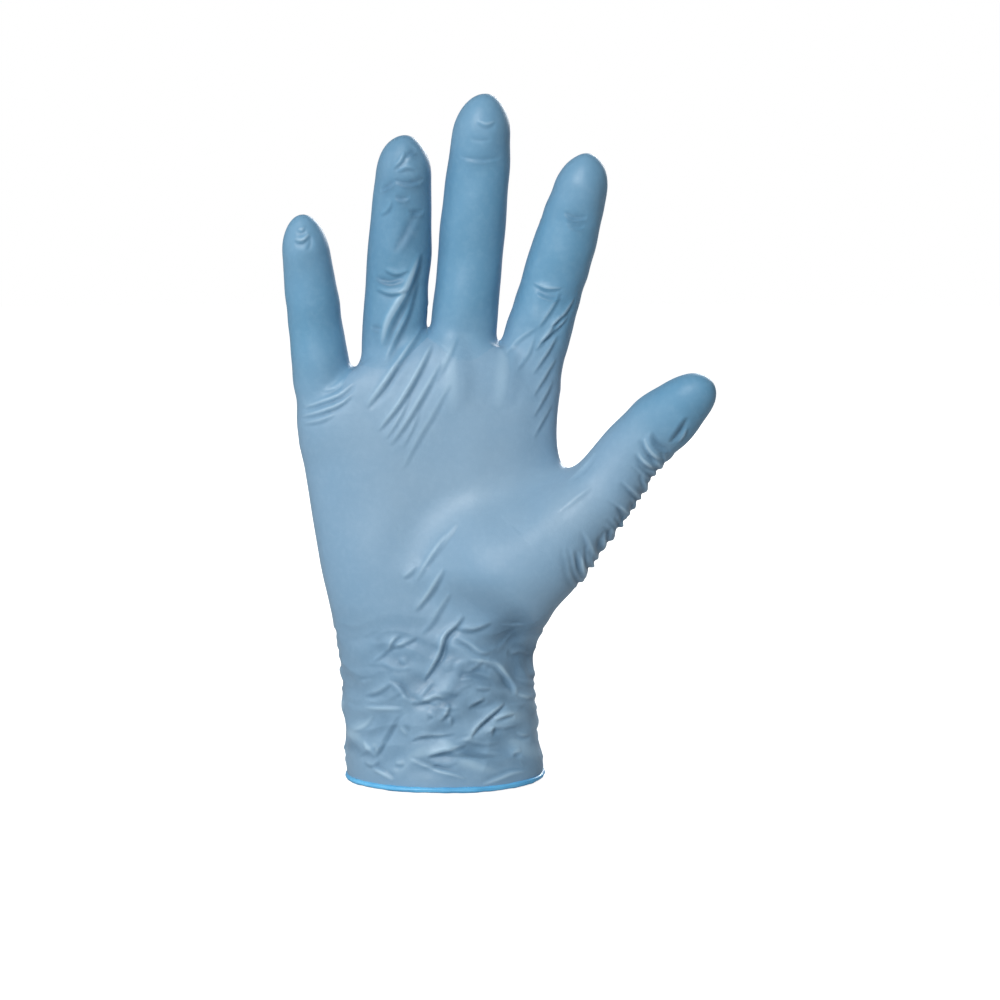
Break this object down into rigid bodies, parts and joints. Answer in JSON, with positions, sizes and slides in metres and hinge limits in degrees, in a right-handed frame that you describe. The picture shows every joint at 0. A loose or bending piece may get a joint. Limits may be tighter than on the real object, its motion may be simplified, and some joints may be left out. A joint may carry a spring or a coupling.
{
  "type": "disposable nitrile glove",
  "caption": "Thin elastic work glove in its worn right-hand shape, with a rolled cuff bead and film that folds at the wrist, knuckles and finger joints.",
  "frame": {"origin": "centre of the hand opening, in the plane of the rolled bead's lower edge", "axes": "+Z from the hand opening towards the fingertips, -Y out of the palm, +X towards the thumb"},
  "size_m": [0.1411, 0.0517, 0.2279],
  "materials": {
    "nitrile_film": "satin translucent light blue film",
    "rolled_bead": "satin light blue"
  },
  "bodies": {
    "cuff_body": {"cuff_bead": "rolled_bead", "cuff": "nitrile_film", "wrist_fold": "nitrile_film"},
    "palm_body": {"palm": "nitrile_film", "index_knuckle_fold": "nitrile_film", "middle_knuckle_fold": "nitrile_film", "ring_knuckle_fold": "nitrile_film", "little_knuckle_fold": "nitrile_film", "thumb_base_fold": "nitrile_film"},
    "index_proximal_body": {"index_proximal": "nitrile_film", "index_middle_fold": "nitrile_film"},
    "index_middle_body": {"index_middle": "nitrile_film", "index_tip_fold": "nitrile_film"},
    "index_tip_body": {"index_tip": "nitrile_film"},
    "middle_proximal_body": {"middle_proximal": "nitrile_film", "middle_middle_fold": "nitrile_film"},
    "middle_middle_body": {"middle_middle": "nitrile_film", "middle_tip_fold": "nitrile_film"},
    "middle_tip_body": {"middle_tip": "nitrile_film"},
    "ring_proximal_body": {"ring_proximal": "nitrile_film", "ring_middle_fold": "nitrile_film"},
    "ring_middle_body": {"ring_middle": "nitrile_film", "ring_tip_fold": "nitrile_film"},
    "ring_tip_body": {"ring_tip": "nitrile_film"},
    "little_proximal_body": {"little_proximal": "nitrile_film", "little_middle_fold": "nitrile_film"},
    "little_middle_body": {"little_middle": "nitrile_film", "little_tip_fold": "nitrile_film"},
    "little_tip_body": {"little_tip": "nitrile_film"},
    "thumb_proximal_body": {"thumb_proximal": "nitrile_film", "thumb_tip_fold": "nitrile_film"},
    "thumb_tip_body": {"thumb_tip": "nitrile_film"}
  },
  "joints": [
    {"name": "wrist_bend", "type": "hinge", "parent": "cuff_body", "child": "palm_body", "pos_m": [-0.002, 0, 0.038], "axis": [1, 0, 0], "range_deg": [-30, 30], "stiffness_Nm_per_rad": 0.05, "deforming": ["wrist_fold"]},
    {"name": "index_knuckle_bend", "type": "hinge", "parent": "palm_body", "child": "index_proximal_body", "pos_m": [0.0296, 0.001, 0.1452], "axis": [0.9889, 0, -0.1487], "range_deg": [0, 60], "stiffness_Nm_per_rad": 0.005, "deforming": ["index_knuckle_fold"]},
    {"name": "index_middle_bend", "type": "hinge", "parent": "index_proximal_body", "child": "index_middle_body", "pos_m": [0.03566, 0.0002, 0.16489], "axis": [0.9558, 0, -0.294], "range_deg": [0, 70], "stiffness_Nm_per_rad": 0.005, "deforming": ["index_middle_fold"]},
    {"name": "index_tip_bend", "type": "hinge", "parent": "index_middle_body", "child": "index_tip_body", "pos_m": [0.04195, -0.00233, 0.18534], "axis": [0.9558, 0, -0.294], "range_deg": [0, 45], "stiffness_Nm_per_rad": 0.005, "deforming": ["index_tip_fold"]},
    {"name": "middle_knuckle_bend", "type": "hinge", "parent": "palm_body", "child": "middle_proximal_body", "pos_m": [0.0066, 0.0015, 0.1458], "axis": [0.9993, 0, -0.0366], "range_deg": [0, 60], "stiffness_Nm_per_rad": 0.005, "deforming": ["middle_knuckle_fold"]},
    {"name": "middle_middle_bend", "type": "hinge", "parent": "middle_proximal_body", "child": "middle_middle_body", "pos_m": [0.00865, 0.00045, 0.17372], "axis": [0.9973, 0, -0.0732], "range_deg": [0, 70], "stiffness_Nm_per_rad": 0.005, "deforming": ["middle_middle_fold"]},
    {"name": "middle_tip_bend", "type": "hinge", "parent": "middle_middle_body", "child": "middle_tip_body", "pos_m": [0.0107, -0.00269, 0.20165], "axis": [0.9973, 0, -0.0732], "range_deg": [0, 45], "stiffness_Nm_per_rad": 0.005, "deforming": ["middle_tip_fold"]},
    {"name": "ring_knuckle_bend", "type": "hinge", "parent": "palm_body", "child": "ring_proximal_body", "pos_m": [-0.0169, 0.0015, 0.1418], "axis": [0.9997, 0, -0.0253], "range_deg": [0, 60], "stiffness_Nm_per_rad": 0.005, "deforming": ["ring_knuckle_fold"]},
    {"name": "ring_middle_bend", "type": "hinge", "parent": "ring_proximal_body", "child": "ring_middle_body", "pos_m": [-0.01579, 0.00057, 0.16377], "axis": [0.9987, 0, -0.0506], "range_deg": [0, 70], "stiffness_Nm_per_rad": 0.005, "deforming": ["ring_middle_fold"]},
    {"name": "ring_tip_bend", "type": "hinge", "parent": "ring_middle_body", "child": "ring_tip_body", "pos_m": [-0.01452, -0.00275, 0.18874], "axis": [0.9987, 0, -0.0506], "range_deg": [0, 45], "stiffness_Nm_per_rad": 0.005, "deforming": ["ring_tip_fold"]},
    {"name": "little_knuckle_bend", "type": "hinge", "parent": "palm_body", "child": "little_proximal_body", "pos_m": [-0.0394, 0.001, 0.1319], "axis": [0.9968, 0, 0.0793], "range_deg": [0, 60], "stiffness_Nm_per_rad": 0.005, "deforming": ["little_knuckle_fold"]},
    {"name": "little_middle_bend", "type": "hinge", "parent": "little_proximal_body", "child": "little_middle_body", "pos_m": [-0.04225, 0.00018, 0.14967], "axis": [0.9874, 0, 0.1582], "range_deg": [0, 70], "stiffness_Nm_per_rad": 0.005, "deforming": ["little_middle_fold"]},
    {"name": "little_tip_bend", "type": "hinge", "parent": "little_middle_body", "child": "little_tip_body", "pos_m": [-0.04498, -0.00215, 0.16676], "axis": [0.9874, 0, 0.1582], "range_deg": [0, 45], "stiffness_Nm_per_rad": 0.005, "deforming": ["little_tip_fold"]},
    {"name": "thumb_base_bend", "type": "hinge", "parent": "palm_body", "child": "thumb_proximal_body", "pos_m": [0.0546, -0.01129, 0.10018], "axis": [0.5517, -0.6421, -0.5323], "range_deg": [0, 30], "stiffness_Nm_per_rad": 0.005, "deforming": ["thumb_base_fold"]},
    {"name": "thumb_tip_bend", "type": "hinge", "parent": "thumb_proximal_body", "child": "thumb_tip_body", "pos_m": [0.06694, -0.0143, 0.11463], "axis": [0.4747, -0.635, -0.6095], "range_deg": [0, 55], "stiffness_Nm_per_rad": 0.005, "deforming": ["thumb_tip_fold"]}
  ]
}
